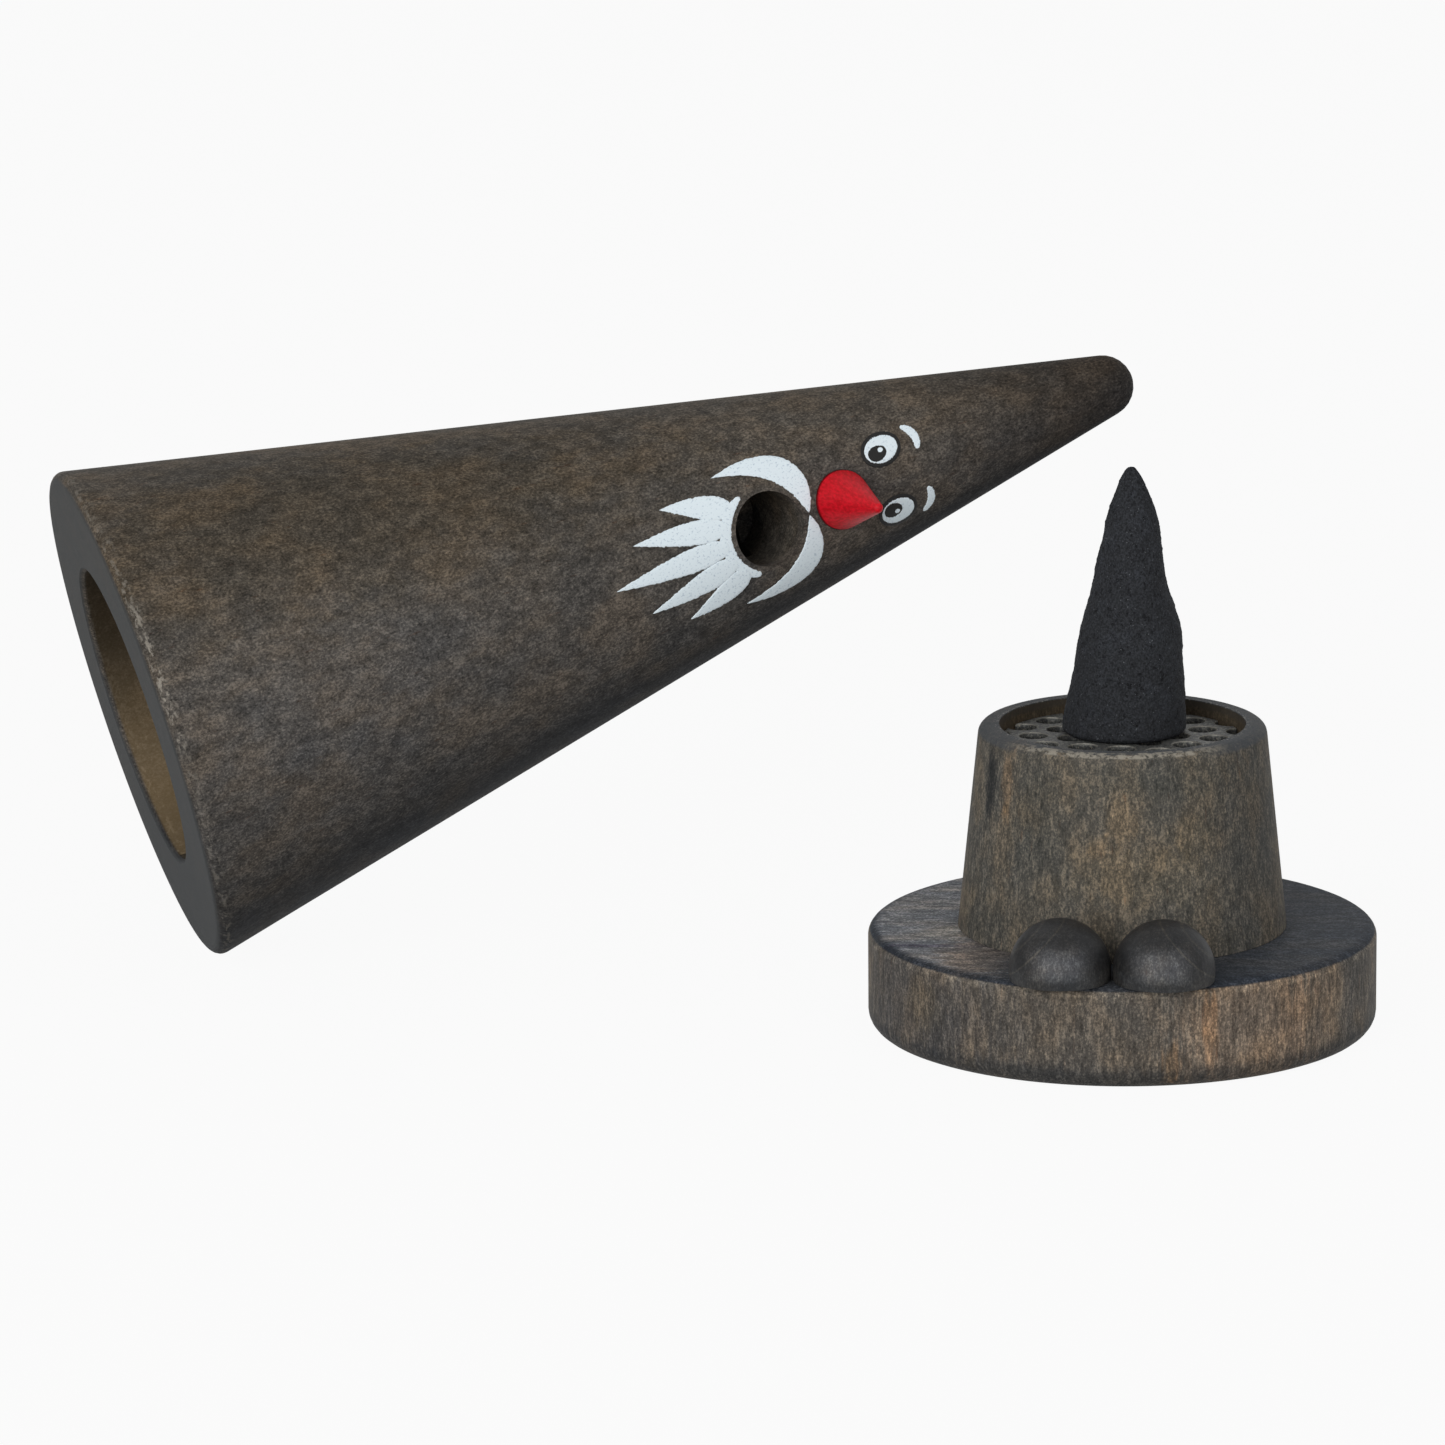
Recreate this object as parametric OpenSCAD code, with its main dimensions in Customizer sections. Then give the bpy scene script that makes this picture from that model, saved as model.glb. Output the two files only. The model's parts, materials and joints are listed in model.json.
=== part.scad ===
// Turned wooden incense burner: a round base disc with a tapered hub and two ball feet, a
// perforated burner plate in the hub's recess, an incense cone, and a tall hollow cap that
// carries the smoke hole and the nose. The cap is off, tilted up on the edge of its rim.
// Millimetres. The origin is the centre of the disc's underside; +X is right, -Y is the side
// of the feet and the face, +Z is up.

/* [Base disc] */
// Diameter of the base disc
disc_d = 48; // [46:0.5:54]
// Thickness of the base disc
disc_h = 9.8; // [8:0.2:12]
// Rounding of the disc's top edge
disc_edge = 1; // [0.4:0.1:1.6]
// Rounding of the disc's bottom edge
disc_foot_edge = 1.8; // [0.4:0.1:2.4]

/* [Hub] */
// Diameter of the hub where it stands on the disc
hub_bottom_d = 31; // [30.4:0.2:33]
// Diameter of the hub at its rim
hub_top_d = 27; // [26.4:0.2:29]
// Height of the hub above the disc
hub_h = 19.4; // [18:0.2:25]
// Rounding of the hub's rim
hub_edge = 1; // [0.3:0.1:1.2]
// Diameter of the recess that the burner plate drops into
recess_d = 23.2; // [21.5:0.1:24]
// Diameter of the ash chamber under the burner plate
ash_d = 18; // [17:0.25:19.5]
// Depth of the ash chamber under the burner plate
ash_depth = 7; // [5:0.5:9]
// Diameter of the hub's tenon in the disc
tenon_d = 18; // [17:0.5:20]
// Length of the hub's tenon in the disc
tenon_h = 5; // [3:0.5:6]

/* [Air way] */
// Diameter of the air hole up into the ash chamber, and width of its groove
air_d = 5; // [3:0.5:6]
// Distance of the air hole behind the axis
air_back = 5; // [4:0.25:5.5]
// Depth of the air groove under the disc
groove_depth = 1.2; // [0.8:0.1:1.8]

/* [Burner plate] */
// Thickness of the plate
plate_t = 0.8; // [0.5:0.1:1.2]
// Depth of the plate's top face below the hub's rim
plate_drop = 1.4; // [1:0.1:2.4]
// Diameter of the plate's holes
plate_hole_d = 2.7; // [2.2:0.1:2.9]
// Distance between the centres of neighbouring holes
plate_pitch = 3.7; // [3.6:0.05:4.5]
// Turn of the rows of holes about the plate's axis
plate_turn = -11; // [-30:1:30]
// Shift of the pattern of holes to the right of the plate's axis
plate_shift = 1.3; // [0:0.1:1.8]
// Shift of the pattern of holes behind the plate's axis
plate_shift_back = 1.6; // [0:0.1:1.8]

/* [Incense cone] */
// Diameter of the incense cone's foot
incense_d = 11.7; // [10:0.1:13]
// Height of the incense cone
incense_h = 25.4; // [22:0.2:28]
// Distance of the incense cone behind the axis
incense_back = 2.5; // [0:0.1:3.6]

/* [Feet] */
// Diameter of the balls that the feet are cut from
foot_d = 9.5; // [8:0.25:10.5]
// Height of the feet above the disc
foot_h = 5.7; // [5:0.1:7]
// Distance between the two feet
foot_gap = 0.1; // [0.1:0.1:1.5]
// Distance of the feet's centres behind the front of the disc
foot_in = 3; // [2.5:0.1:6]

/* [Cap] */
// Diameter of the cap's rim
cap_d = 49.4; // [47:0.2:54]
// Length of the cap along its axis
cap_h = 105; // [98:1:114]
// Radius of the cap's round tip
cap_tip = 3.1; // [2:0.1:4]
// Rounding of the cap's rim
cap_edge = 1; // [0.5:0.1:1.6]
// Gap between the disc and the rim of the cap when the cap sits on the hub
cap_lift = 6.5; // [6.2:0.1:12]
// Room between the hub's rim and the end of the seat bore when the cap sits on the hub
seat_room = 3; // [2:0.5:5]
// Bevel at the mouth of the seat bore
mouth_bevel = 0.4; // [0.2:0.1:0.8]
// Diameter of the smoke chamber above the seat bore
chamber_d = 22; // [20:0.5:24]
// Room between the incense cone's tip and the end of the smoke chamber
chamber_room = 5; // [3:0.5:8]
// Diameter of the flue above the smoke chamber
flue_d = 11; // [9:0.5:12.5]
// Height of the flue's flat end above the point where the smoke hole meets the axis
flue_room = 1.5; // [0.5:0.25:3]

/* [Smoke hole and nose] */
// Diameter of the smoke hole
smoke_d = 7.4; // [5:0.1:8]
// Distance of the smoke hole from the rim, along the axis
smoke_at = 63.6; // [60:0.2:67]
// Distance from the smoke hole to the nose, along the axis
nose_rise = 8.1; // [7.8:0.1:11]
// Diameter of the nose
nose_d = 5.8; // [5:0.1:6.6]
// Height of the nose out of the cap's side
nose_h = 8; // [7:0.1:11]
// Rounding of the nose's point
nose_tip = 0.55; // [0.3:0.05:0.9]
// Depth of the nose's socket in the cap's side
nose_sink = 1.2; // [0.9:0.1:1.6]
// Diameter of the nose's tenon
nose_tenon_d = 3; // [2:0.25:4]
// Length of the nose's tenon
nose_tenon_h = 4; // [3:0.25:5]

/* [Fits] */
// Glue gap around pieces that are glued together
glue_gap = 0.05; // [0.03:0.01:0.1]
// Gap around the burner plate in its recess
plate_gap = 0.15; // [0.1:0.05:0.3]
// Gap under a piece that only lies on another
rest_gap = 0.05; // [0.03:0.01:0.1]

/* [Cap at rest] */
// Distance of the cap's mouth to the left of the base's axis
cap_left = 97.2; // [94:0.2:115]
// Distance of the cap's mouth behind the base's axis
cap_back = 21.7; // [12:0.1:30]
// Turn of the cap's axis towards the back
cap_yaw = 19.3; // [12:0.1:30]
// Tilt of the cap's axis above the ground
cap_tilt = 15.4; // [8:0.1:30]
// Turn of the face above the level of the cap's axis
face_turn = 1.5; // [-10:0.5:15]

/* [Hidden] */
$fn = 96;

// Cuts run past a face by this much
past = 1;
// Points along each rounded edge of a turned outline
edge_steps = 6;
// Points along the side of the incense cone
incense_steps = 12;

// An arc about (cx, cy) from angle a0 to a1, as points of an outline
function arc(cx, cy, r, a0, a1, steps) = [
    for (i = [0:steps])
        let (a = a0 + (a1 - a0) * i / steps)
            [cx + r * cos(a), cy + r * sin(a)]
];

// Heights on the base
hub_z = disc_h + glue_gap;
rim_z = hub_z + hub_h;
plate_top_z = rim_z - plate_drop;
plate_z = plate_top_z - plate_t;
ledge_z = plate_z - rest_gap;
ash_z = ledge_z - ash_depth;
incense_z = plate_top_z + rest_gap;

// Slope of the hub's side, in radius lost for each millimetre of height
hub_slope = (hub_bottom_d - hub_top_d) / 2 / hub_h;
hub_angle = atan(hub_slope);
function hub_r_at(above_foot) = hub_bottom_d / 2 - hub_slope * above_foot;

// The hub's outline: tenon, shoulder, tapered side and rounded rim
hub_edge_c = [hub_r_at(hub_h - hub_edge) - hub_edge / cos(hub_angle), rim_z - hub_edge];
hub_outline = concat(
    [[0, disc_h - tenon_h], [tenon_d / 2, disc_h - tenon_h], [tenon_d / 2, hub_z]],
    [[hub_bottom_d / 2, hub_z]],
    arc(hub_edge_c.x, hub_edge_c.y, hub_edge, hub_angle, 90, edge_steps),
    [[0, rim_z]]
);

// The disc's outline: a flat slab with a small rounding above and a larger one below
disc_outline = concat(
    [[0, 0]],
    arc(disc_d / 2 - disc_foot_edge, disc_foot_edge, disc_foot_edge, -90, 0, edge_steps),
    arc(disc_d / 2 - disc_edge, disc_h - disc_edge, disc_edge, 0, 90, edge_steps),
    [[0, disc_h]]
);

// The incense cone narrows slowly at its foot and fast at its tip
function incense_r(t) = incense_d / 2 * pow(1 - pow(t, 1.2), 0.6);
incense_outline = concat(
    [[0, 0]],
    [for (i = [0:incense_steps - 1])
        let (t = 1 - pow(1 - i / incense_steps, 1.6))
            [incense_r(t), t * incense_h]],
    [[0, incense_h]]
);

// The cap's side is the common tangent of its rim's rounding and its round tip; cap_angle is
// half the cone's angle, and side_k is the side's distance from the centre of the mouth
cap_in = cap_d / 2 - cap_edge;
cap_span = cap_h - cap_tip - cap_edge;
cap_angle = acos((cap_tip - cap_edge) / norm([cap_in, cap_span])) - atan2(cap_span, cap_in);
side_k = cap_in * cos(cap_angle) + cap_edge * sin(cap_angle) + cap_edge;
function cap_r_at(along) = (side_k - along * sin(cap_angle)) / cos(cap_angle);
cap_outline = concat(
    [[0, 0]],
    arc(cap_in, cap_edge, cap_edge, -90, cap_angle, edge_steps),
    arc(0, cap_h - cap_tip, cap_tip, cap_angle, 90, edge_steps)
);

// The seat bore is as wide as the hub is where the cap comes to rest on it
seat_d = 2 * hub_r_at(cap_lift);
seat_h = hub_h - cap_lift + seat_room;
chamber_end = hub_h - cap_lift + incense_h - plate_drop + rest_gap + chamber_room;
smoke_meet = smoke_at - cap_r_at(smoke_at) * tan(cap_angle);
flue_end = smoke_meet + flue_room;
smoke_len = cap_r_at(smoke_at) / cos(cap_angle);

// The nose stands on the cap's side above the smoke hole
nose_at = smoke_at + nose_rise;
nose_r = nose_d / 2;
nose_cone_angle = atan(nose_r / nose_h);
nose_outline = concat(
    [[0, -nose_sink - nose_tenon_h], [nose_tenon_d / 2, -nose_sink - nose_tenon_h]],
    [[nose_tenon_d / 2, -nose_sink], [nose_r, -nose_sink], [nose_r, 0]],
    arc(0, nose_h - nose_tip, nose_tip, nose_cone_angle, 90, edge_steps)
);

// The lowest point of the cap's rim touches the ground
cap_z = cap_in * cos(cap_tilt) - cap_edge * sin(cap_tilt) + cap_edge;

// Puts what is drawn about the cap's own axis, mouth at 0 and tip up, where the cap rests
module at_cap() {
    translate([-cap_left, cap_back, cap_z])
        rotate([0, 0, cap_yaw])
            rotate([0, 90 - cap_tilt, 0])
                children();
}

// Puts what is drawn along +Z on the cap's side, square to it, at a distance from the rim
module on_face(along) {
    rotate([0, 0, -90 - face_turn])
        translate([cap_r_at(along), 0, along])
            rotate([0, 90 - cap_angle, 0])
                children();
}

module air_hole() {
    translate([0, air_back, -past])
        cylinder(h = ash_z + 2 * past, d = air_d);
}

module base_disc() {
    color("#4a423a")
        difference() {
            rotate_extrude()
                polygon(disc_outline);
            translate([0, 0, disc_h - tenon_h - glue_gap])
                cylinder(h = tenon_h + glue_gap + past, r = tenon_d / 2 + glue_gap);
            air_hole();
            translate([-air_d / 2, air_back, -past])
                cube([air_d, disc_d / 2, groove_depth + past]);
        }
}

module hub() {
    color("#5c5144")
        difference() {
            rotate_extrude()
                polygon(hub_outline);
            translate([0, 0, ledge_z])
                cylinder(h = rim_z - ledge_z + past, d = recess_d);
            translate([0, 0, ash_z])
                cylinder(h = ash_depth + past, d = ash_d);
            air_hole();
        }
}

// One foot: a ball, cut flat where it stands on the disc and kept clear of the hub
module foot(side) {
    color("#26231f")
        difference() {
            translate([side * (foot_d + foot_gap) / 2, foot_in - disc_d / 2,
                       disc_h + foot_h - foot_d / 2])
                sphere(d = foot_d);
            translate([0, 0, hub_z - foot_d])
                cylinder(h = foot_d, r = disc_d / 2 + foot_d);
            translate([0, 0, disc_h])
                cylinder(h = hub_h, r1 = hub_bottom_d / 2 + glue_gap,
                         r2 = hub_top_d / 2 + glue_gap);
        }
}

// The plate is punched all over in staggered rows, so its edge cuts through some of the holes
module burner_plate() {
    plate_r = recess_d / 2 - plate_gap;
    reach = ceil(recess_d / plate_pitch);
    color("#3a3936")
        difference() {
            translate([0, 0, plate_z])
                cylinder(h = plate_t, r = plate_r);
            translate([plate_shift, plate_shift_back, plate_z - past])
                rotate([0, 0, plate_turn])
                    for (row = [-reach:reach], place = [-reach:reach])
                        let (x = (place + abs(row % 2) / 2) * plate_pitch,
                             y = row * plate_pitch * sin(60))
                            if (norm([x, y]) < plate_r + plate_pitch)
                                translate([x, y, 0])
                                    cylinder(h = plate_t + 2 * past, d = plate_hole_d, $fn = 32);
        }
}

module incense_cone() {
    color("#232425")
        translate([0, incense_back, incense_z])
            rotate_extrude()
                polygon(incense_outline);
}

module cap_cone() {
    color("#463c32")
        at_cap()
            difference() {
                rotate_extrude()
                    polygon(cap_outline);
                translate([0, 0, -past])
                    cylinder(h = seat_h + past, d = seat_d);
                translate([0, 0, -past])
                    cylinder(h = mouth_bevel + past, d1 = seat_d + 2 * (mouth_bevel + past),
                             d2 = seat_d);
                cylinder(h = chamber_end, d = chamber_d);
                cylinder(h = flue_end, d = flue_d);
                on_face(smoke_at)
                    translate([0, 0, -smoke_len])
                        cylinder(h = smoke_len + past, d = smoke_d);
                on_face(nose_at)
                    translate([0, 0, -nose_sink - glue_gap])
                        cylinder(h = nose_sink + glue_gap + past, r = nose_r + glue_gap);
                on_face(nose_at)
                    translate([0, 0, -nose_sink - nose_tenon_h - glue_gap])
                        cylinder(h = nose_tenon_h + past, r = nose_tenon_d / 2 + glue_gap);
            }
}

module nose() {
    color("#c4141c")
        at_cap()
            on_face(nose_at)
                rotate_extrude()
                    polygon(nose_outline);
}

base_disc();
hub();
foot(-1);  // foot_left
foot(1);  // foot_right
burner_plate();
incense_cone();
cap_cone();
nose();
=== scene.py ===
# %% [markdown]
# # A turned wooden incense burner
# The burner is a small smoker in dark stained hardwood: a base with a burner plate, and a tall
# hollow cap that stands over the glowing incense cone. The cap lies beside the base, tilted on
# the edge of its rim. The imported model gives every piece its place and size, and this lesson
# dresses it. Wooden pieces whose shape is right keep their solids and only get a finish.

# %% Load the frame
import json
import math

import bmesh
import bpy
import numpy as np
from mathutils import Matrix, Vector


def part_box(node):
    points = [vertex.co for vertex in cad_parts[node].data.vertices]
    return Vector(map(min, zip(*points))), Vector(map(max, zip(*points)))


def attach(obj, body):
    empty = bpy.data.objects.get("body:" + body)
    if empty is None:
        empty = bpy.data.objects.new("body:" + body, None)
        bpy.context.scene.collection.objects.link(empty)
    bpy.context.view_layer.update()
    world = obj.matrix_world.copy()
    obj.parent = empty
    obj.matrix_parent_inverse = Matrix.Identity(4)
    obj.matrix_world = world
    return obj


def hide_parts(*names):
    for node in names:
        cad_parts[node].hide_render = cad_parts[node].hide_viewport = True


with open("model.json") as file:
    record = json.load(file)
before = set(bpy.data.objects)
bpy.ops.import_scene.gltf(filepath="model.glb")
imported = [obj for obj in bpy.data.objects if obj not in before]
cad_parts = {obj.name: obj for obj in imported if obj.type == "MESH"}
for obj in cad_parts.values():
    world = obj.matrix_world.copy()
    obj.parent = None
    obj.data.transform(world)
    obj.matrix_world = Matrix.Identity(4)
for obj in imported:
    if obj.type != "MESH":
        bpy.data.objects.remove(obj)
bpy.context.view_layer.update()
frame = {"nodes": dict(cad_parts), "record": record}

MM = 0.001
print("nodes:", sorted(frame["nodes"]))

# %% [markdown]
# ## Where the cap lies
# Everything on the cap is placed in the cap's own frame: z runs along its axis from the mouth to
# the tip, and x points out of the face. The mount of the mouth gives the axis. The slope of the
# side is found by a vote: for each slope, the vertices that lie on the outermost line of that
# slope are counted, and the true side gets by far the most.

# %% The cap's own frame
MOUTH = next(m for m in frame["record"]["mounts"] if m["name"] == "cap_mouth")
along = -np.array(MOUTH["axis"]) / np.linalg.norm(MOUTH["axis"])
mouth_centre = np.array(MOUTH["pos_m"]) - along * MOUTH["dims"]["length_mm"] / 2 * MM


def vertices(node):
    """All vertices of a CAD node as an array of rows x, y, z in metres."""
    mesh = frame["nodes"][node].data
    flat = np.zeros(len(mesh.vertices) * 3)
    mesh.vertices.foreach_get("co", flat)
    return flat.reshape(-1, 3)


offset = vertices("cap_cone") - mouth_centre
axial = offset @ along / MM
radial = np.linalg.norm(offset - np.outer(offset @ along, along), axis=1) / MM
slopes = np.tan(np.radians(np.arange(8.0, 16.0, 0.01)))
reach = radial[None, :] + slopes[:, None] * axial[None, :]
votes = (reach > reach.max(1, keepdims=True) - 0.01).sum(1)
CAP_SLOPE = slopes[votes.argmax()]
CAP_FOOT_R = reach[votes.argmax()].max()
CAP_ANGLE = math.atan(CAP_SLOPE)
CAP_LENGTH = axial.max()

nose_middle = (vertices("nose").min(0) + vertices("nose").max(0)) / 2 - mouth_centre
face_out = nose_middle - (nose_middle @ along) * along
face_out /= np.linalg.norm(face_out)
face_side = np.cross(along, face_out)
print(f"cap: {CAP_LENGTH:.1f} mm long, half angle {math.degrees(CAP_ANGLE):.2f} degrees,",
      f"{2 * CAP_FOOT_R:.1f} mm wide at the mouth")

# %% [markdown]
# A point on the cap is given as the painter sees it: `side` is the distance to the left or right
# of the middle of the face, measured round the cone, `up` is the distance from the rim along the
# axis, and `lift` is the height above the wood. All three are in millimetres.

# %% Points on the cap's side
def on_cap(side, up, lift):
    """Rows x, y, z in metres. The side's radius at up is foot radius - slope x up, the angle
    round the cone is side / radius, and lift goes out square to the side."""
    radius = CAP_FOOT_R - CAP_SLOPE * up
    turn = side / radius
    outward = np.cos(turn)[..., None] * face_out + np.sin(turn)[..., None] * face_side
    square = outward * math.cos(CAP_ANGLE) + along * math.sin(CAP_ANGLE)
    return mouth_centre + MM * (up[..., None] * along + radius[..., None] * outward
                                + lift[..., None] * square)


# %% [markdown]
# ## Camera
# A long lens from about a metre away, a little to the right of the middle and looking down at
# thirteen degrees, shows the disc's top as a flat ellipse and keeps the burner's uprights almost
# parallel, as a product picture does.

# %% Camera
CAMERA_DISTANCE = 900 * MM
CAMERA_AZIMUTH = math.radians(5.0)
CAMERA_ELEVATION = math.radians(13.24)
CAMERA_ROLL = math.radians(0.45)
PICTURE_WIDTH = 136.32 * MM
SENSOR_WIDTH = 36.0
AIM = (-37.59 * MM, 15.15 * MM)
AIM_HEIGHT = 14 * MM

forward = np.array([-math.sin(CAMERA_AZIMUTH) * math.cos(CAMERA_ELEVATION),
                    math.cos(CAMERA_AZIMUTH) * math.cos(CAMERA_ELEVATION),
                    -math.sin(CAMERA_ELEVATION)])
right = np.array([math.cos(CAMERA_AZIMUTH), math.sin(CAMERA_AZIMUTH), 0.0])
up = np.cross(right, forward)
target = np.array([0, 0, AIM_HEIGHT]) + right * AIM[0] + up * AIM[1]
rolled_right = math.cos(CAMERA_ROLL) * right - math.sin(CAMERA_ROLL) * up
rolled_up = math.sin(CAMERA_ROLL) * right + math.cos(CAMERA_ROLL) * up
lens = bpy.data.cameras.new("camera")
lens.sensor_width = SENSOR_WIDTH
lens.lens = SENSOR_WIDTH * CAMERA_DISTANCE / PICTURE_WIDTH
lens.clip_start, lens.clip_end = 0.05, 20
camera = bpy.data.objects.new("camera", lens)
turn = Matrix((rolled_right, rolled_up, -forward)).transposed().to_4x4()
camera.matrix_world = Matrix.Translation(target - forward * CAMERA_DISTANCE) @ turn
bpy.context.scene.collection.objects.link(camera)
bpy.context.scene.camera = camera
print(f"lens {lens.lens:.1f} mm at {CAMERA_DISTANCE:.2f} m")

# %% [markdown]
# ## Building surfaces
# Most new pieces are one closed skin: a grid of points whose rows run along the piece and whose
# columns run round it. The first and last row shrink to one point each, so both ends are closed.

# %% A closed skin from a grid
def skin(name, points, material):
    """points is an array rows x columns x 3 in metres, and columns close on themselves. The mean
    of the first row and of the last row become the two poles. If the signed volume, the sum of
    the tetrahedra that the faces make with the origin, is negative, all faces are turned over."""
    rows, columns, _ = points.shape
    body = points[1:-1].reshape(-1, 3)
    corners = np.vstack([points[0].mean(0), body, points[-1].mean(0)])
    index = 1 + np.arange((rows - 2) * columns).reshape(rows - 2, columns)
    beside = np.roll(index, -1, axis=1)
    quads = np.stack([index[:-1], beside[:-1], beside[1:], index[1:]], axis=-1).reshape(-1, 4)
    first = np.stack([np.zeros(columns, int), beside[0], index[0]], axis=-1)
    last = np.stack([np.full(columns, len(corners) - 1), index[-1], beside[-1]], axis=-1)
    a, b, c, d = (corners[quads[:, k]] for k in range(4))
    volume = (a * (np.cross(b, c) + np.cross(c, d))).sum()
    faces = quads.tolist() + first.tolist() + last.tolist()
    if volume < 0:
        faces = [face[::-1] for face in faces]
    mesh = bpy.data.meshes.new(name)
    mesh.from_pydata(corners.tolist(), [], faces)
    mesh.shade_smooth()
    mesh.materials.append(material)
    piece = bpy.data.objects.new(name, mesh)
    bpy.context.scene.collection.objects.link(piece)
    print(f"{name}: {len(faces)} faces")
    return piece


# %% [markdown]
# ## Building materials
# Colours are written as sRGB hex, the way a paint chart gives them, and turned to linear light
# once. One helper adds a node, sets it up and links it.

# %% Colour and node helpers
def linear(hex_colour):
    """sRGB hex to linear RGBA: below 0.04045 divide by 12.92, else ((c + 0.055) / 1.055) ^ 2.4."""
    parts = [int(hex_colour[k:k + 2], 16) / 255 for k in (1, 3, 5)]
    return tuple(c / 12.92 if c <= 0.04045 else ((c + 0.055) / 1.055) ** 2.4 for c in parts) + (1,)


def add(tree, kind, links=None, stops=None, **settings):
    """Adds one node. links maps an input to a value or to another node's output, stops are the
    positions and colours of a ramp, and settings are the node's own properties."""
    node = tree.nodes.new(kind)
    for key, value in settings.items():
        setattr(node, key, value)
    for key, value in (links or {}).items():
        if isinstance(value, bpy.types.NodeSocket):
            tree.links.new(value, node.inputs[key])
        else:
            node.inputs[key].default_value = value
    if stops:
        elements = node.color_ramp.elements
        while len(elements) < len(stops):
            elements.new(0.5)
        for element, (place, colour) in zip(elements, stops):
            element.position, element.color = place, colour
    return node


def new_material(name):
    """An empty material without any nodes, and the tree to build it in."""
    material = bpy.data.materials.new(name)
    material.use_nodes = True
    material.node_tree.nodes.clear()
    return material, material.node_tree


def finish_material(material, shader):
    """Links the shader to the material's output."""
    tree = material.node_tree
    add(tree, "ShaderNodeOutputMaterial", {"Surface": shader.outputs["BSDF"]})
    print(f"{material.name}: {len(tree.nodes)} nodes")


# Inputs of the Mix node when it mixes colours
FACTOR, FIRST, SECOND = 0, 6, 7

# %% [markdown]
# ## Stained hardwood
# The real wood is a pale close-grained hardwood, such as beech or lime, turned on a lathe and
# dipped in a thin black-brown stain. The stain soaks into soft fibres and slides off hard ones,
# so the eye sees a dark grey-brown ground, fine fibres a quarter of a millimetre wide that run
# along the grain, blotches a millimetre across, small tan flecks, and cloudy patches that lean to
# brown or to grey-blue. All of it is made from noise on the piece's own coordinates in
# millimetres, stretched along the grain, so the pattern goes through the wood as real grain does.

# %% Node helpers for wood
def own_space(tree, place=(0, 0, 0), turn=(0, 0, 0)):
    """Object coordinates moved to a piece's own frame and scaled to millimetres."""
    coordinates = add(tree, "ShaderNodeTexCoord")
    return add(tree, "ShaderNodeMapping",
               {"Vector": coordinates.outputs["Object"], "Location": place, "Rotation": turn,
                "Scale": (MM, MM, MM)}, vector_type="TEXTURE").outputs["Vector"]


def grain(tree, own, size, detail=3.0, roughness=0.55, shift=(0, 0, 0)):
    """Noise whose grains measure about size = (x, y, z) millimetres."""
    scaled = add(tree, "ShaderNodeVectorMath",
                 {0: own, 1: tuple(1 / s for s in size), 2: shift}, operation="MULTIPLY_ADD")
    return add(tree, "ShaderNodeTexNoise",
               {"Vector": scaled.outputs[0], "Scale": 1.0, "Detail": detail,
                "Roughness": roughness}).outputs["Fac"]


def step(tree, value, low, high):
    """A soft step: 0 at low, 1 at high, and a smooth S between them. Low may be the larger."""
    return add(tree, "ShaderNodeMapRange", {"Value": value, "From Min": low, "From Max": high},
               interpolation_type="SMOOTHSTEP").outputs["Result"]


def split(tree, vector):
    """The x, y and z of a vector, to be picked by 0, 1 and 2."""
    return add(tree, "ShaderNodeSeparateXYZ", {0: vector}).outputs


def absolute(tree, value):
    """The value without its sign."""
    return add(tree, "ShaderNodeMath", {0: value}, operation="ABSOLUTE").outputs[0]


def larger(tree, a, b):
    """The larger of two values."""
    return add(tree, "ShaderNodeMath", {0: a, 1: b}, operation="MAXIMUM").outputs[0]


def times(tree, a, *rest):
    """The product of all the values."""
    for b in rest:
        a = add(tree, "ShaderNodeMath", {0: a, 1: b}, operation="MULTIPLY").outputs[0]
    return a


def weighted(tree, *parts):
    """The sum of weight x value over the (weight, value) pairs."""
    total = 0.0
    for weight, value in parts:
        total = add(tree, "ShaderNodeMath", {0: value, 1: weight, 2: total},
                    operation="MULTIPLY_ADD").outputs[0]
    return total


def blend(tree, share, a, b, how="MIX"):
    """Colour a where share is 0 and colour b where it is 1."""
    return add(tree, "ShaderNodeMix", {FACTOR: share, FIRST: a, SECOND: b}, data_type="RGBA",
               blend_type=how).outputs[2]


def tint(tree, share, colour, factors):
    """The colour, with its red, green and blue multiplied by the factors where share is 1."""
    return blend(tree, share, colour, (*factors, 1), how="MULTIPLY")


# %% [markdown]
# Knots, streaks and worn places sit at fixed places on a turned piece. They are put there on a flat
# map of its side: the way round from the front is x, and the height is y. Each patch is an ellipse
# on that map whose edge a noise makes ragged, so it looks like a mark in the wood and not like a
# drawn shape.

# %% Patches on a flat map
# Radius that stands for all angles on the flat map of a side
MAP_R = 14.5
RAGGED_SHARE, SPOT_EDGE, SPOT_SOFT = 2.4, 2.2, 0.5


def polar(tree, own):
    """The distance from the piece's own axis, the height along it, and a flat map of its side:
    x is the angle from the front times MAP_R, y is the height, all in millimetres."""
    place = split(tree, own)
    flat = add(tree, "ShaderNodeCombineXYZ", {0: place[0], 1: place[1]})
    radius = add(tree, "ShaderNodeVectorMath", {0: flat.outputs[0]}, operation="LENGTH")
    back = times(tree, place[1], -1.0)
    angle = add(tree, "ShaderNodeMath", {0: place[0], 1: back}, operation="ARCTAN2")
    side = add(tree, "ShaderNodeCombineXYZ",
               {0: times(tree, angle.outputs[0], MAP_R), 1: place[2]})
    return radius.outputs["Value"], place[2], side.outputs[0]


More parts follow.
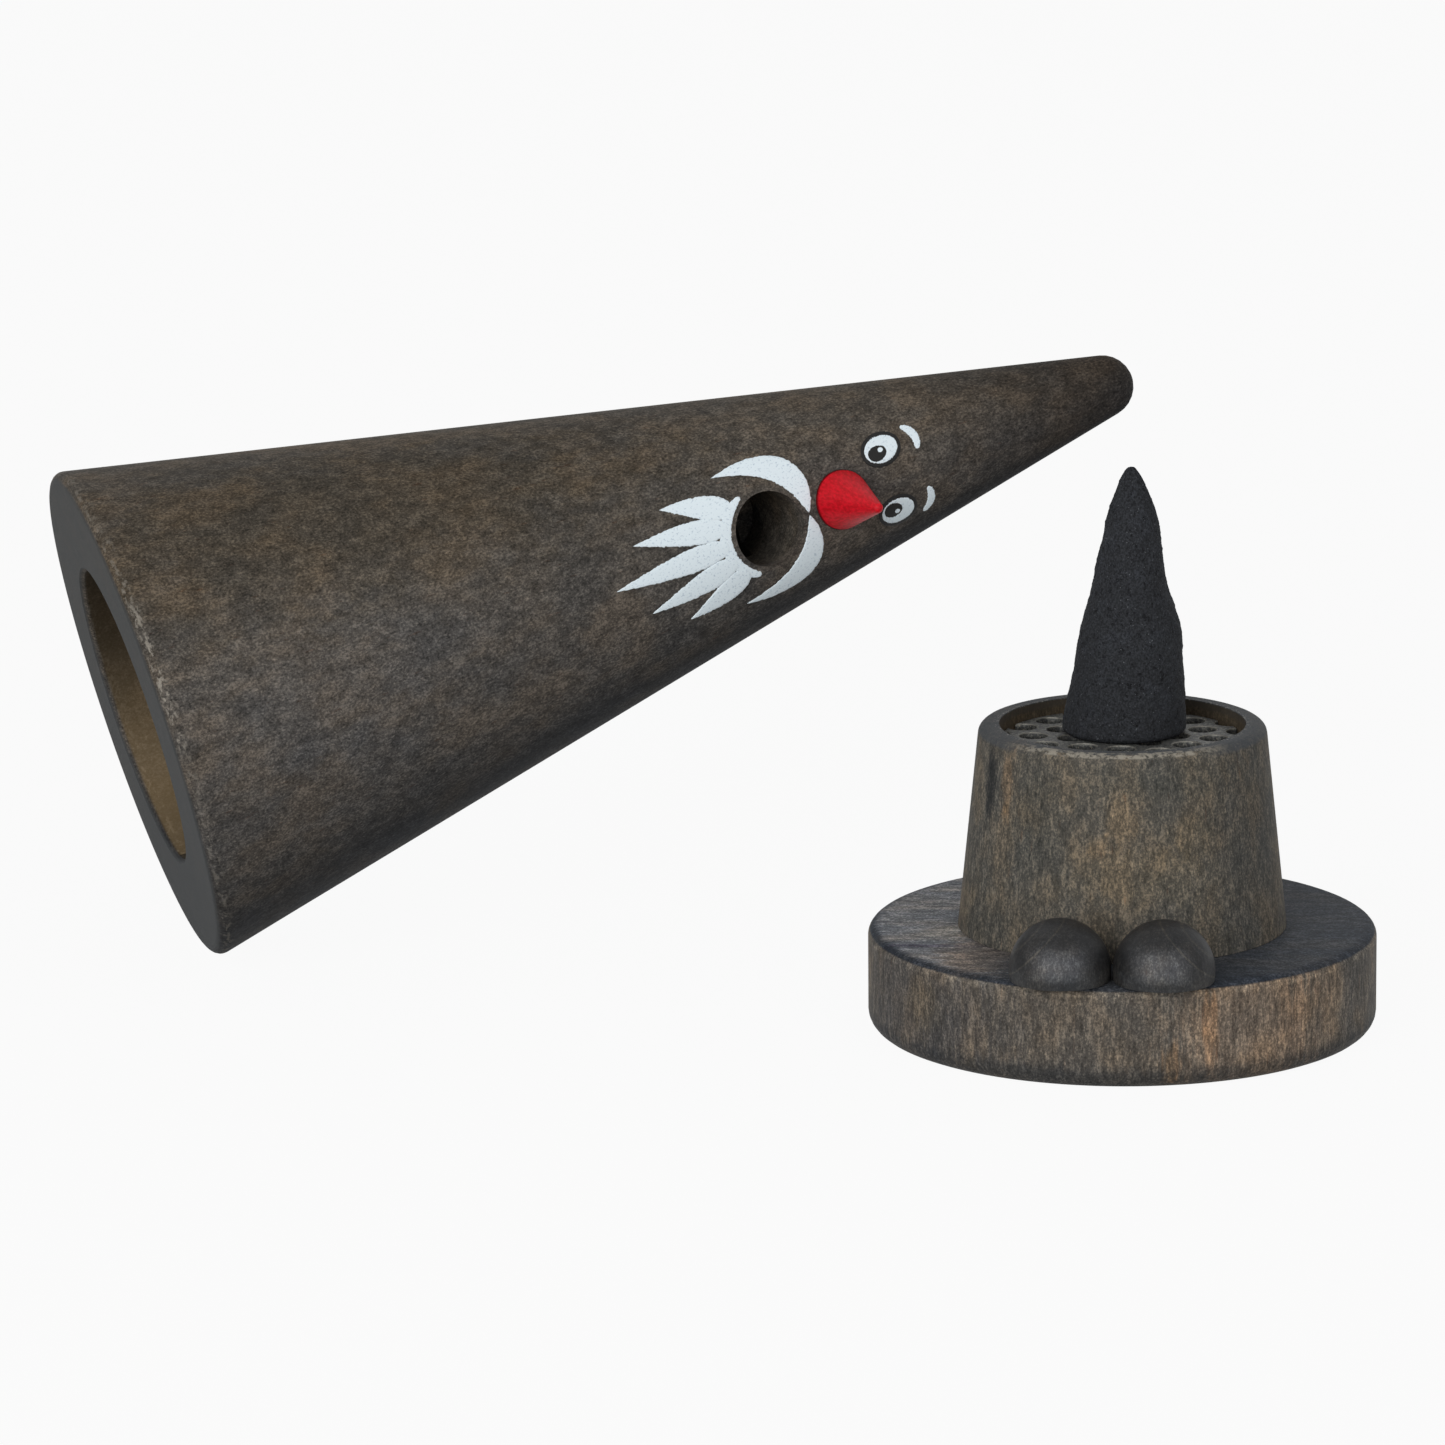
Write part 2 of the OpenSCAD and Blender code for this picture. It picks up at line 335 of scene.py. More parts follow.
def spot(tree, side, at, size, ragged):
    """A patch on the side's flat map: 1 inside an ellipse of half axes size about at, 0 outside.
    The value ragged, a noise about 0.5, moves its edge in and out: at the edge, the distance in
    half axes plus RAGGED_SHARE x ragged is SPOT_EDGE, and it is soft by SPOT_SOFT each way."""
    near = add(tree, "ShaderNodeVectorMath",
               {0: side, 1: (1 / size[0], 1 / size[1], 0),
                2: (-at[0] / size[0], -at[1] / size[1], 0)}, operation="MULTIPLY_ADD")
    away = add(tree, "ShaderNodeVectorMath", {0: near.outputs[0]}, operation="LENGTH")
    far = weighted(tree, (1.0, away.outputs["Value"]), (RAGGED_SHARE, ragged))
    return step(tree, far, SPOT_EDGE + SPOT_SOFT, SPOT_EDGE - SPOT_SOFT)


def spotted(tree, colour, side, ragged, patches):
    """The colour with patches on it. Each patch is its place and half size on the flat map, its
    share, and the factors that it multiplies red, green and blue by."""
    for at, size, share, factors in patches:
        patch = times(tree, spot(tree, side, at, size, ragged), share)
        colour = tint(tree, patch, colour, factors)
    return colour


# %% Stained wood
WARM = (1.07, 1.0, 0.92)
COOL = (0.95, 0.98, 1.02)
FLECK = (1.75, 1.7, 1.6)
RED_BROWN = (0.8, 0.58, 0.5)
GRIT_SIZE = (0.2, 0.2, 0.24)
# How much each noise adds to the tone
FIBRE_SHARE, BLOTCH_SHARE, GRIT_SHARE, CLOUD_SHARE = 0.36, 0.24, 0.3, 0.1
TONE_SPREAD = 0.1
# A direction in which fibres measure this much more than across is the way of the grain
LONG_SHARE = 1.3
# Length and width of flecks and streaks
FLECK_LONG, FLECK_WIDE = 0.75, 0.2
STREAK_LONG, STREAK_WIDE = 5.0, 0.45


def stained_wood(tree, own, dark, ground, light, fibre, blotch, cloud, flecks=0.5):
    """Colour and height of stained wood. Fibres, blotches and fine grit are added up and give
    the tone from dark over ground to light, TONE_SPREAD on each side of the middle. Clouds tint
    it warm or cool, light flecks lie on top, and a few dark red-brown streaks run along it."""
    long_way = tuple(s > min(fibre) * LONG_SHARE for s in fibre)
    fibres = grain(tree, own, fibre, detail=5.0, roughness=0.72)
    blotches = grain(tree, own, blotch, detail=4.0, roughness=0.6, shift=(2.3, 6.4, 1.2))
    grit = grain(tree, own, GRIT_SIZE, detail=2.0, roughness=0.7, shift=(3.1, 3.7, 0.9))
    clouds = grain(tree, own, cloud, detail=3.0, shift=(2.7, 8.1, 5.3))
    level = weighted(tree, (FIBRE_SHARE, fibres), (BLOTCH_SHARE, blotches), (GRIT_SHARE, grit),
                     (CLOUD_SHARE, clouds))
    tone = add(tree, "ShaderNodeValToRGB", {"Fac": level},
               stops=[(0.5 - TONE_SPREAD, linear(dark)), (0.5, linear(ground)),
                      (0.5 + TONE_SPREAD, linear(light))])
    colour = tint(tree, step(tree, clouds, 0.46, 0.66), tone.outputs["Color"], WARM)
    colour = tint(tree, step(tree, clouds, 0.5, 0.34), colour, COOL)
    fleck = grain(tree, own, tuple(FLECK_LONG if far else FLECK_WIDE for far in long_way),
                  detail=1.0, shift=(7.3, 1.9, 4.1))
    colour = tint(tree, times(tree, step(tree, fleck, 0.62, 0.74), flecks), colour, FLECK)
    streak = grain(tree, own, tuple(STREAK_LONG if far else STREAK_WIDE for far in long_way),
                   detail=2.0, shift=(9.2, 4.4, 6.1))
    colour = tint(tree, times(tree, step(tree, streak, 0.68, 0.76), 0.6), colour, RED_BROWN)
    return colour, level


def wood_shader(tree, colour, height, roughness=0.68, specular=0.12, depth=0.05):
    """Satin wood whose grain stands up by about depth millimetres."""
    bump = add(tree, "ShaderNodeBump", {"Height": height, "Distance": depth * MM, "Strength": 0.8})
    return add(tree, "ShaderNodeBsdfPrincipled",
               {"Base Color": colour, "Roughness": roughness, "Specular IOR Level": specular,
                "Normal": bump.outputs["Normal"]})


# %% [markdown]
# ## The cap's wood
# The cap's grain runs along its axis. The wood gets darker towards the tip, and a brown patch lies
# near the mouth. Painted shade makes it cooler and darker round the side, away from the top line,
# and dark round the underside. The cap's own frame turns the wood with the cap, so the grain stays
# along the axis in every pose.

# %% The cap's side
cap_frame = Matrix((face_out, face_side, along)).transposed()
cap_turn = tuple(cap_frame.to_euler())
# Heights above the rim between which the tip gets darker
TIP_FROM, TIP_TO = 74.0, 104.0
# Distances from the cap's top line, round its side, between which painted shade makes the wood
# cooler and darker, and then dark round the underside
CAP_SHADE_FROM, CAP_SHADE_TO = 12.0, 30.0
UNDER_SHADE_FROM, UNDER_SHADE_TO = 29.0, 37.5

cap_wood, tree = new_material("stained_wood_cap")
own = own_space(tree, tuple(mouth_centre), cap_turn)
colour, height = stained_wood(tree, own, "#322f2b", "#504b45", "#776f65", fibre=(0.24, 0.24, 0.36),
                              blotch=(1.1, 1.1, 1.6), cloud=(5.0, 5.0, 8.0))
radius, level, side = polar(tree, own)
around = split(tree, side)[0]
from_top = absolute(tree, around)
ragged = grain(tree, own, (2.0, 2.0, 4.0), detail=4.0, roughness=0.65, shift=(1.2, 5.5, 3.3))
colour = tint(tree, step(tree, level, TIP_FROM, TIP_TO), colour, (0.45, 0.44, 0.45))
# painted shade: cooler and darker round the side away from the top line, and dark round the
# underside
colour = tint(tree, step(tree, from_top, CAP_SHADE_FROM, CAP_SHADE_TO), colour, (0.9, 0.95, 1.04))
colour = tint(tree, step(tree, from_top, UNDER_SHADE_FROM, UNDER_SHADE_TO), colour, (0.42, 0.46, 0.52))
colour = spotted(tree, colour, side, ragged, (
    ((10.0, 24.0), (6.5, 30.0), 0.8, (0.82, 0.77, 0.68)),
    ((20.0, 16.0), (6.0, 16.0), 1.0, (1.12, 1.15, 1.2))))

# %% [markdown]
# The rim shows end grain, which drinks the stain evenly and turns a flat cool grey. Handling has
# worn the stain off the rim's outer edge in a broken light line. Inside the bores the stain is
# thin and the wood looks tan, and painted shade darkens one side of them. The cone that lies
# CAP_WALL inside the cap's side tells the bores from the outside: radius + slope x height is
# constant on it.

# %% The cap's rim and bores
# Least wall round the bores, and the softness of its edge
CAP_WALL, WALL_SOFT = 1.2, 0.3
# Height of the rim's flat face, and how softly it passes into the side and the bores
RIM_FACE, RIM_SOFT, BORE_SOFT = 0.3, 0.25, 0.4
# Heights above the rim between which the worn line ends
WORN_ENDS, WORN_FULL = 1.7, 0.9
# Places on the flat map between which the bore turns from tan to dark with painted shade
BORE_TAN_AT, BORE_SHADE_AT = -36.0, -16.0
# Heights between which the bore's tan gives way to the flue's grey
FLUE_FROM, FLUE_TO = 45.0, 52.0

end_grain = step(tree, level, RIM_FACE, RIM_FACE - RIM_SOFT)
colour = blend(tree, end_grain, colour, blend(tree, 0.15, linear("#484a4b"), colour))
wear = grain(tree, own, (1.0, 1.0, 0.5), detail=4.0, roughness=0.7, shift=(4.2, 0.3, 8.8))
on_edge = times(tree, step(tree, level, RIM_FACE, RIM_FACE + RIM_SOFT),
                step(tree, level, WORN_ENDS, WORN_FULL))
handled = weighted(tree, (0.55, spot(tree, side, (17.5, 1.0), (4.0, 2.5), ragged)), (0.35, 1.0))
worn = times(tree, on_edge, step(tree, wear, 0.5, 0.6), handled)
colour = blend(tree, worn, colour, linear("#948e84"))
tapered = weighted(tree, (CAP_SLOPE, level), (1.0, radius))
inside = step(tree, tapered, CAP_FOOT_R - CAP_WALL, CAP_FOOT_R - CAP_WALL - WALL_SOFT)
bored = times(tree, inside, step(tree, level, RIM_FACE, RIM_FACE + BORE_SOFT))
tan = tint(tree, 1.0, blend(tree, 0.5, colour, linear("#756850")), (1.6, 1.45, 1.25))
# painted shade: one side of the bore is darkened
tan = tint(tree, step(tree, around, BORE_TAN_AT, BORE_SHADE_AT), tan, (0.27, 0.28, 0.31))
grey = tint(tree, 1.0, colour, (0.95, 0.92, 0.85))
bore = blend(tree, step(tree, level, FLUE_FROM, FLUE_TO), tan, grey)
colour = blend(tree, bored, colour, bore)
shader = wood_shader(tree, colour, height, specular=0.04)
finish_material(cap_wood, shader)
frame["nodes"]["cap_cone"].data.materials[0] = cap_wood

# %% [markdown]
# ## The base's wood
# Hub and disc are turned from the same stained wood. The hub's side shows upright fibres and more
# of the pale wood, with tan patches low in the middle and one dark knot on the left beside a
# reddish strip. A lighter bluish patch on the left is a painted sheen, and a cooler dark one on the
# right is painted shade. Each patch is written as its place and half size on the side's flat map,
# in millimetres from the front and above the floor, its share, and its colour factors.

# %% The hub's side
rim_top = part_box("hub")[1].z / MM
disc_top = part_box("base_disc")[1].z / MM

hub_wood, tree = new_material("stained_wood_hub")
own = own_space(tree)
colour, height = stained_wood(tree, own, "#353430", "#524f49", "#82796b", fibre=(0.24, 0.24, 0.7),
                              blotch=(0.8, 0.8, 1.8), cloud=(4.0, 4.0, 6.0))
radius, level, side = polar(tree, own)
ragged = grain(tree, own, (0.8, 0.8, 2.0), detail=4.0, roughness=0.65, shift=(1.2, 5.5, 3.3))
colour = spotted(tree, colour, side, ragged, (
    ((-15.0, rim_top - 4.2), (0.95, 3.4), 1.0, (0.36, 0.38, 0.42)),
    ((-12.2, rim_top - 3.6), (0.8, 3.2), 0.8, (1.35, 1.08, 0.85)),
    # painted sheen: a lighter, bluish patch on the left of the hub
    ((-13.5, disc_top + 13.0), (4.5, 9.0), 0.7, (1.14, 1.16, 1.2)),
    ((-15.5, disc_top + 3.5), (3.5, 3.0), 0.5, (0.85, 0.87, 0.87)),
    ((0.5, disc_top + 13.5), (1.4, 2.4), 0.8, (1.35, 1.24, 1.1)),
    ((-1.5, disc_top + 11.0), (1.1, 1.1), 0.8, (1.42, 1.26, 1.08)),
    ((2.5, disc_top + 8.0), (6.5, 2.4), 0.7, (1.25, 1.18, 1.06)),
    ((7.5, disc_top + 11.5), (2.4, 2.0), 0.6, (1.25, 1.15, 1.0)),
    ((-8.5, disc_top + 13.5), (2.6, 4.5), 0.7, (0.78, 0.8, 0.8)),
    # painted shade: a cooler, darker patch on the right of the hub
    ((15.0, disc_top + 10.0), (5.0, 12.0), 0.8, (0.84, 0.87, 0.93)),
    ((6.0, rim_top - 2.6), (9.0, 1.6), 0.6, (0.84, 0.88, 0.9))))

# %% [markdown]
# The rim's flat ring is end grain, as on the cap: dark and bluish, with light dust along its inner
# lip. In front its outer edge is worn light. The recess shows the brown wood under the stain.

# %% The hub's rim and recess
# Radius of the recess for the burner plate
RECESS_R = 11.6
# Distances out from the recess at which its brown ends and begins, at which the dust on the lip
# ends and is full, and at which the worn line begins and is full
BROWN_OUT, DUST_OUT, WORN_OUT = (0.1, 0.0), (0.7, 0.2), (0.7, 0.95)
# Depths below the rim between which the flat ring, the shoulder at the sides and the worn line in
# front begin, and distances from the front at which shoulder and worn line begin and are full
RING_DEEP = (0.14, 0.02)
SHOULDER_DEEP, SHOULDER_AT = (0.95, 0.5), (8.0, 15.0)
WORN_DEEP, WORN_AT = (0.45, 0.25), (14.0, 7.0)
RECESS_DEEP = (0.0, 0.15)

from_front = absolute(tree, split(tree, side)[0])
below_rim = weighted(tree, (-1.0, level), (rim_top, 1.0))
past_recess = weighted(tree, (1.0, radius), (-RECESS_R, 1.0))
flat_ring = step(tree, below_rim, *RING_DEEP)
shoulder = times(tree, step(tree, below_rim, *SHOULDER_DEEP), step(tree, from_front, *SHOULDER_AT))
ring = larger(tree, flat_ring, shoulder)
colour = blend(tree, times(tree, ring, 0.75), colour, linear("#43474c"))
chips = grain(tree, own, (0.9, 0.9, 0.5), detail=4.0, roughness=0.75, shift=(6.2, 2.3, 0.8))
worn = times(tree, step(tree, below_rim, *WORN_DEEP), step(tree, from_front, *WORN_AT),
             step(tree, past_recess, *WORN_OUT), step(tree, chips, 0.42, 0.56))
colour = blend(tree, times(tree, worn, 0.85), colour, linear("#9c968a"))
dust = grain(tree, own, (0.2, 0.2, 0.2), detail=1.0, shift=(2.2, 8.6, 0.1))
dusty = times(tree, flat_ring, step(tree, past_recess, *DUST_OUT), step(tree, dust, 0.6, 0.68), 0.8)
colour = blend(tree, dusty, colour, linear("#a5a39d"))
recess = times(tree, step(tree, past_recess, *BROWN_OUT), step(tree, below_rim, *RECESS_DEEP))
brown = blend(tree, 0.55, colour, linear("#3f382e"))
colour = blend(tree, recess, colour, tint(tree, 1.0, brown, (1.02, 0.93, 0.8)))
shader = wood_shader(tree, colour, height, depth=0.06)
finish_material(hub_wood, shader)
frame["nodes"]["hub"].data.materials[0] = hub_wood

# %% [markdown]
# The disc's side has strong upright streaks that turn orange on the right, and painted shade in a
# dark band at its foot, next to the floor. The edge between the side and the top is worn light in
# places.

# %% The disc's side
# Height of the rounding between the disc's side and its top, and two pairs of heights above its
# foot: between them the worn line begins, and the side's finish gives way to the top's
TOP_EDGE = 1.0
WORN_FROM, WORN_TO = -0.2, 0.1
SIDE_ENDS, TOP_BEGINS = 0.45, 0.65
# Heights between which the dark band of painted shade at the disc's foot ends
FOOT_SHADE_ENDS, FOOT_SHADE_FULL = 3.4, 2.2

disc_wood, tree = new_material("stained_wood_disc")
own = own_space(tree)
radius, level, side = polar(tree, own)
side_colour, side_height = stained_wood(tree, own, "#383531", "#57524c", "#8a8073",
                                        fibre=(0.26, 0.26, 0.9), blotch=(0.7, 0.7, 2.8),
                                        cloud=(4.0, 4.0, 6.0))
ragged = grain(tree, own, (0.5, 0.5, 4.0), detail=4.0, roughness=0.65, shift=(1.2, 5.5, 3.3))
side_colour = spotted(tree, side_colour, side, ragged, (
    ((8.2, disc_top / 2), (4.2, 6.5), 0.9, (1.74, 1.54, 1.38)),
    ((5.68, disc_top - 4.4), (0.4, 3.4), 0.9, (1.35, 1.12, 0.92)),
    ((3.44, 2.6), (0.5, 1.8), 0.8, (1.4, 1.12, 0.85)),
    ((13.3, 5.5), (2.6, 4.8), 0.8, (1.55, 1.42, 1.3)),
    ((18.5, 5.5), (4.5, 5.5), 0.8, (1.1, 1.15, 1.21)),
    ((-13.0, 5.0), (6.0, 5.0), 0.8, (0.79, 0.84, 0.95)),
    ((10.9, 6.2), (0.8, 3.8), 0.8, (0.74, 0.78, 0.84)),
    ((-12.2, 5.9), (1.4, 2.6), 0.7, (1.25, 1.15, 0.95)),
    ((-3.5, 4.0), (5.0, 2.6), 0.5, (0.88, 0.88, 0.88))))
lines = grain(tree, own, (0.3, 0.3, 9.0), detail=2.0, shift=(0.4, 7.7, 2.6))
ruled = times(tree, step(tree, lines, 0.5, 0.4),
              spot(tree, side, (9.8, 5.5), (5.5, 6.5), ragged), 0.6)
side_colour = tint(tree, ruled, side_colour, (0.72, 0.7, 0.7))
# painted shade: a dark band with a ragged top at the disc's foot
foot_shade = step(tree, weighted(tree, (1.0, level), (1.6, ragged)), FOOT_SHADE_ENDS, FOOT_SHADE_FULL)
side_colour = tint(tree, times(tree, foot_shade, 0.9), side_colour, (0.5, 0.55, 0.62))
chips = grain(tree, own, (1.6, 1.6, 0.6), detail=4.0, roughness=0.7, shift=(6.2, 2.3, 0.8))
edge_foot = disc_top - TOP_EDGE
worn = times(tree, step(tree, level, edge_foot + WORN_FROM, edge_foot + WORN_TO),
             step(tree, chips, 0.46, 0.58))
side_colour = tint(tree, worn, side_colour, (1.6, 1.6, 1.55))

# %% [markdown]
# The disc's top shows the board's long grain from left to right. It is dark and bluish, with pale
# grain streaks on the left that are brightened strongly into a painted sheen, and a dark line
# inside its edge. Its patches are placed by x and y. Side and top are one material, because they
# are one piece: the height decides which of the two finishes shows.

# %% The disc's top
DISC_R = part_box("base_disc")[1].x / MM
# Places to the left of the middle between which the pale streaks of painted sheen fade in
SHEEN_STREAKS_AT = (-6.0, -17.0)
# Distances in from the edge at which the sheen streaks end and are full, and the same for the dark
# line
SHEEN_STREAKS_IN, LINE_IN = (0.4, 1.2), (1.6, 0.8)

top_colour, top_height = stained_wood(tree, own, "#1c1f24", "#32363c", "#595d64",
                                      fibre=(0.4, 0.24, 0.24), blotch=(1.8, 0.9, 0.9),
                                      cloud=(9.0, 3.0, 3.0))
pale = grain(tree, own, (3.0, 0.6, 0.6), detail=4.0, roughness=0.7, shift=(3.3, 1.1, 0.2))
from_edge = weighted(tree, (-1.0, radius), (DISC_R, 1.0))
streaks_and_sheen = times(tree, step(tree, split(tree, own)[0], *SHEEN_STREAKS_AT), step(tree, pale, 0.2, 0.6),
             step(tree, from_edge, *SHEEN_STREAKS_IN))
# pale grain streaks, brightened strongly into a painted sheen
top_colour = tint(tree, streaks_and_sheen, top_colour, (5.9, 5.3, 4.6))
top_colour = spotted(tree, top_colour, own, pale, (
    ((-16.3, -5.0), (2.6, 2.6), 1.0, (1.35, 1.3, 1.2)),
    ((-13.0, -13.0), (3.6, 7.0), 1.0, (1.25, 1.05, 0.88)),
    ((-18.5, -9.5), (4.5, 0.5), 1.0, (0.6, 0.55, 0.66))))
edge_line = times(tree, step(tree, from_edge, *LINE_IN), 0.8)
top_colour = tint(tree, edge_line, top_colour, (0.72, 0.74, 0.78))
top = step(tree, level, edge_foot + SIDE_ENDS, edge_foot + TOP_BEGINS)
colour = blend(tree, top, side_colour, top_colour)
height = add(tree, "ShaderNodeMix", {0: top, 2: side_height, 3: top_height}).outputs[0]
shader = wood_shader(tree, colour, height, depth=0.07)
finish_material(disc_wood, shader)
frame["nodes"]["base_disc"].data.materials[0] = disc_wood

# %% [markdown]
# ## The feet
# The feet are two wooden balls, cut flat below, that stand on the disc in front of the hub. They
# were dipped in a nearly black stain. Their fronts carry a pale patch, a painted highlight over
# rubbed wood, and a painted highlight makes them lighter towards the disc. Two fine light
# scratches run over each, from the crown down to the outer side. Both feet share one finish, which
# uses the distance from each foot's own middle.

# %% Finish the feet
FOOT_X = (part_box("foot_right")[0].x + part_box("foot_right")[1].x) / 2 / MM
# Limits of the rubbed front with its painted highlight, each given as where it is bare and where it
# is full: heights above the disc at its upper and lower end, and distances from the foot's middle
RUB_HIGHLIGHT_HIGH, RUB_HIGHLIGHT_LOW, RUB_HIGHLIGHT_SIDE = (4.4, 2.6), (0.5, 2.0), (3.4, 1.0)
# Heights between which a painted highlight makes the foot lighter towards the disc
LOW_HIGHLIGHT_FROM, LOW_HIGHLIGHT_TO = 2.0, 0.8
# Each scratch is the cut of a plane in which outward distance + height above the disc is this sum
SCRATCHES = (5.3, 7.0)
SCRATCH_WIDE, SCRATCH_FULL = 0.14, 0.05

foot_wood, tree = new_material("black_stained_foot")
own = own_space(tree)
colour, height = stained_wood(tree, own, "#121213", "#1d1d1e", "#323232", fibre=(0.14, 0.14, 0.4),
                              blotch=(0.5, 0.5, 0.9), cloud=(3.0, 3.0, 3.0), flecks=0.4)
place = split(tree, own)
outward = weighted(tree, (1.0, absolute(tree, place[0])), (-FOOT_X, 1.0))
above = weighted(tree, (1.0, place[2]), (-disc_top, 1.0))
rubbed_and_highlight = times(tree, step(tree, above, *RUB_HIGHLIGHT_HIGH), step(tree, above, *RUB_HIGHLIGHT_LOW),
               step(tree, absolute(tree, outward), *RUB_HIGHLIGHT_SIDE))
# the pale front: painted highlight over rubbed wood
colour = tint(tree, rubbed_and_highlight, colour, (5.0, 5.0, 5.0))
# painted highlight low on the foot, towards the disc
colour = tint(tree, step(tree, above, LOW_HIGHLIGHT_FROM, LOW_HIGHLIGHT_TO), colour, (1.7, 1.75, 1.75))
for total in SCRATCHES:
    off_line = absolute(tree, weighted(tree, (1.0, outward), (1.0, above), (-total, 1.0)))
    scratch = times(tree, step(tree, off_line, SCRATCH_WIDE, SCRATCH_FULL), 0.7)
    colour = tint(tree, scratch, colour, (2.6, 2.4, 2.0))
shader = wood_shader(tree, colour, height, roughness=0.5, specular=0.25, depth=0.03)
finish_material(foot_wood, shader)
for name in ("foot_left", "foot_right"):
    frame["nodes"][name].data.materials[0] = foot_wood

# %% [markdown]
# ## The nose
# A small turned cone, dipped in bright red lacquer. A lacquer film is smooth and evens out the
# grain below it, so only a trace of the fibres shows under a soft gloss. At its foot, where it
# meets the cap, it is nearly black.

# %% Finish the nose
red_lacquer, tree = new_material("red_lacquer")
own = own_space(tree, tuple(mouth_centre), cap_turn)
streaks = grain(tree, own, (1.2, 0.25, 0.25), detail=3.0)
red = blend(tree, step(tree, streaks, 0.32, 0.68), linear("#b40010"), linear("#d80c22"))
radius, level, side = polar(tree, own)
above_wood = weighted(tree, (1.0, radius), (CAP_SLOPE, level), (-CAP_FOOT_R, 1.0))
red = tint(tree, step(tree, above_wood, 0.35, 0.1), red, (0.3, 0.35, 0.35))
bump = add(tree, "ShaderNodeBump", {"Height": streaks, "Distance": 0.02 * MM, "Strength": 0.6})
shader = add(tree, "ShaderNodeBsdfPrincipled",
             {"Base Color": red, "Roughness": 0.5, "Specular IOR Level": 0.25,
              "Normal": bump.outputs["Normal"]})
finish_material(red_lacquer, shader)
frame["nodes"]["nose"].data.materials[0] = red_lacquer

# %% [markdown]
# ## The burner plate
# The plate is punched out of perforated steel sheet and blackened. Punching rounds the edges of
# the holes, so a copy of the solid gets a fine bevel, and every face that slopes gets a painted
# highlight. Ash and crumbs of incense lie on the plate, and it gets browner and darker towards its
# front.

# %% Blackened steel
# Places in front of the plate's middle where it begins to get browner and darker and where that is
# full
BROWNER_FROM, BROWNER_TO = -6.0, -9.5

blackened_steel, tree = new_material("blackened_steel")
own = own_space(tree)
dust = grain(tree, own, (0.3, 0.3, 0.3), detail=4.0, roughness=0.7)
smear = grain(tree, own, (3.0, 3.0, 3.0), detail=2.0, shift=(4.4, 1.3, 0))
crumbs = grain(tree, own, (0.22, 0.22, 0.22), detail=1.0, shift=(8.1, 0.6, 2.2))
steel = blend(tree, step(tree, dust, 0.42, 0.68), linear("#3d3e3f"), linear("#75756f"))
steel = blend(tree, step(tree, crumbs, 0.66, 0.74), steel, linear("#8f887b"))
# the plate gets browner and darker towards its front
browner_front = times(tree, step(tree, split(tree, own)[1], BROWNER_FROM, BROWNER_TO),
              step(tree, dust, 0.3, 0.6), 0.8)
steel = blend(tree, browner_front, steel, linear("#4c443a"))
upward = split(tree, add(tree, "ShaderNodeNewGeometry").outputs["Normal"])[2]
# painted highlight on the sloping faces of the bevels
bevel_highlight = times(tree, step(tree, upward, 0.97, 0.85), step(tree, upward, 0.1, 0.4))
steel = blend(tree, times(tree, bevel_highlight, 0.6), steel, linear("#9a968c"))
rough = add(tree, "ShaderNodeMapRange", {"Value": smear, "To Min": 0.45, "To Max": 0.7})
bump = add(tree, "ShaderNodeBump", {"Height": dust, "Distance": 0.03 * MM, "Strength": 0.6})
shader = add(tree, "ShaderNodeBsdfPrincipled",
             {"Base Color": steel, "Metallic": 0.6, "Roughness": rough.outputs[0],
              "Normal": bump.outputs["Normal"]})
finish_material(blackened_steel, shader)

# %% [markdown]
# A bevel needs whole edges. So the solid's mesh is copied, its doubled vertices are joined, the
# triangles of each flat face become one face, and then all sharp edges get a bevel of two steps.

# %% Bevelled plate
PLATE_BEVEL, SAME_PLACE = 0.12, 0.002
FLAT_ANGLE, SHARP_ANGLE = math.radians(0.5), math.radians(50)

plate_mesh = frame["nodes"]["burner_plate"].data.copy()
plate_mesh.name = "perforated_plate"
work = bmesh.new()
work.from_mesh(plate_mesh)
bmesh.ops.remove_doubles(work, verts=work.verts, dist=SAME_PLACE * MM)
bmesh.ops.dissolve_limit(work, angle_limit=FLAT_ANGLE, verts=work.verts, edges=work.edges)
rims = [e for e in work.edges if len(e.link_faces) == 2 and e.calc_face_angle() > SHARP_ANGLE]
bmesh.ops.bevel(work, geom=rims, offset=PLATE_BEVEL * MM, segments=2, profile=0.5, affect="EDGES")
bmesh.ops.triangulate(work, faces=[f for f in work.faces if len(f.verts) > 4])
work.to_mesh(plate_mesh)
work.free()
plate_mesh.materials.clear()
plate_mesh.materials.append(blackened_steel)
plate = bpy.data.objects.new("perforated_plate", plate_mesh)
bpy.context.scene.collection.objects.link(plate)
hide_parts("burner_plate")
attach(plate, "plate")
print("perforated_plate:", len(plate_mesh.polygons), "faces")

# %% [markdown]
# ## The incense cone
# Pressed charcoal powder, knocked out of a mould while damp. It is dull black, grainy, leans a
# little and is lumpy: a long dent on the left, and on the right a short one over a bulge. The
# skin is a profile turned round a bent axis, with the lumps added to its radius.

# %% Incense cone
incense_low, incense_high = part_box("incense_cone")
INCENSE_R = (incense_high.x - incense_low.x) / 2 / MM
INCENSE_H = (incense_high.z - incense_low.z) / MM
ROWS, COLUMNS = 250, 280
# Powers of the profile: radius = foot radius x (1 - share of height ^ BELLY) ^ BLUNT
BELLY, BLUNT = 1.2, 0.6
# Rows crowd towards the tip, where the profile turns fastest
CROWDED = 1.35
# Lumps and dents: degrees from the right, height, width in degrees, half height, and size
LUMPS = ((180, 15.0, 50, 5.0, -0.45), (0, 14.6, 40, 1.8, -0.3),
         (5, 9.5, 45, 2.2, 0.22), (175, 18.6, 35, 1.2, -0.12))
# Roughness: how many waves, their numbers round the cone, their heights, and their size
ROUGHNESS = ((14, (2, 7), (4, 12), 0.06), (30, (8, 30), (0.8, 3), 0.03),
             (60, (30, 90), (0.35, 0.9), 0.02))
